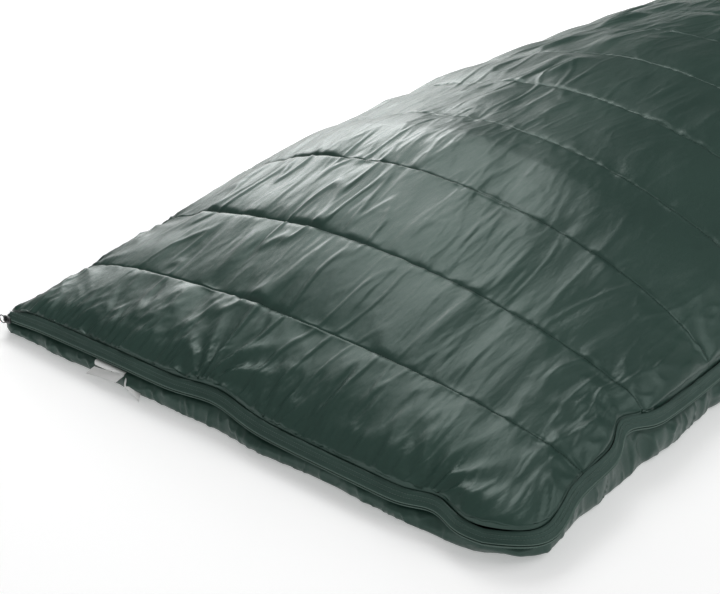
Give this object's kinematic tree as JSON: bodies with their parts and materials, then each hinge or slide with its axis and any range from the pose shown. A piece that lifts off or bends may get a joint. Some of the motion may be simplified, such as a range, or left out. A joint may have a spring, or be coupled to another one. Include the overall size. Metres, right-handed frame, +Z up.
{
  "type": "camp quilt",
  "caption": "Rectangular two-layer camp quilt with sewn channels, folded on one side, that zips round its foot and other side and opens flat.",
  "frame": {"origin": "on the ground, under the middle of the quilt", "axes": "+Z up, +Y from the foot to the open head end, +X from the fold to the zipped side"},
  "size_m": [0.8326, 2.0969, 0.2345],
  "materials": {
    "shell": "satin",
    "lining": "satin",
    "filling": "matte",
    "tape": "matte",
    "coil": "satin",
    "metal": "gloss",
    "label": "matte"
  },
  "bodies": {
    "bottom_quilt": {"bottom_shell": "shell", "bottom_lining": "lining", "bottom_fill_01": "filling", "bottom_fill_02": "filling", "bottom_fill_03": "filling", "bottom_fill_04": "filling", "bottom_fill_05": "filling", "bottom_fill_06": "filling", "bottom_fill_07": "filling", "bottom_fill_08": "filling", "bottom_fill_09": "filling", "bottom_fill_10": "filling", "bottom_fill_11": "filling", "bottom_fill_12": "filling", "bottom_head_binding": "tape", "bottom_zip_tape": "tape", "bottom_zip_coil": "coil", "bottom_head_stop": "metal", "foot_zip_stop": "metal", "care_label_1": "label", "care_label_2": "label", "care_label_3": "label"},
    "top_quilt": {"top_shell": "shell", "top_lining": "lining", "top_fill_01": "filling", "top_fill_02": "filling", "top_fill_03": "filling", "top_fill_04": "filling", "top_fill_05": "filling", "top_fill_06": "filling", "top_fill_07": "filling", "top_fill_08": "filling", "top_fill_09": "filling", "top_fill_10": "filling", "top_fill_11": "filling", "top_fill_12": "filling", "top_head_binding": "tape", "top_zip_tape": "tape", "top_zip_coil": "coil", "top_head_stop": "metal", "draft_tube": "lining"},
    "foot_slider": {"foot_slider": "metal"},
    "foot_pull": {"foot_pull_ring": "metal"},
    "side_slider": {"side_slider": "metal"},
    "side_pull": {"side_pull_ring": "metal"}
  },
  "joints": [
    {"name": "top_open", "type": "hinge", "parent": "bottom_quilt", "child": "top_quilt", "pos_m": [-0.41, 0, 0.029], "axis": [0, -1, 0], "range_deg": [0, 180]},
    {"name": "foot_slider_run", "type": "slide", "parent": "bottom_quilt", "child": "foot_slider", "axis": [1, 0, 0], "range_m": [0, 0.7]},
    {"name": "foot_pull_swing", "type": "hinge", "parent": "foot_slider", "child": "foot_pull", "pos_m": [-0.403, -1.0493, 0.029], "axis": [0, 0, 1], "range_deg": [0, 180]},
    {"name": "side_slider_run", "type": "slide", "parent": "bottom_quilt", "child": "side_slider", "axis": [0, -1, 0], "range_m": [0, 1.96]},
    {"name": "side_pull_swing", "type": "hinge", "parent": "side_slider", "child": "side_pull", "pos_m": [0.4143, 1.0302, 0.048], "axis": [0, 0, 1], "range_deg": [0, 180]}
  ]
}
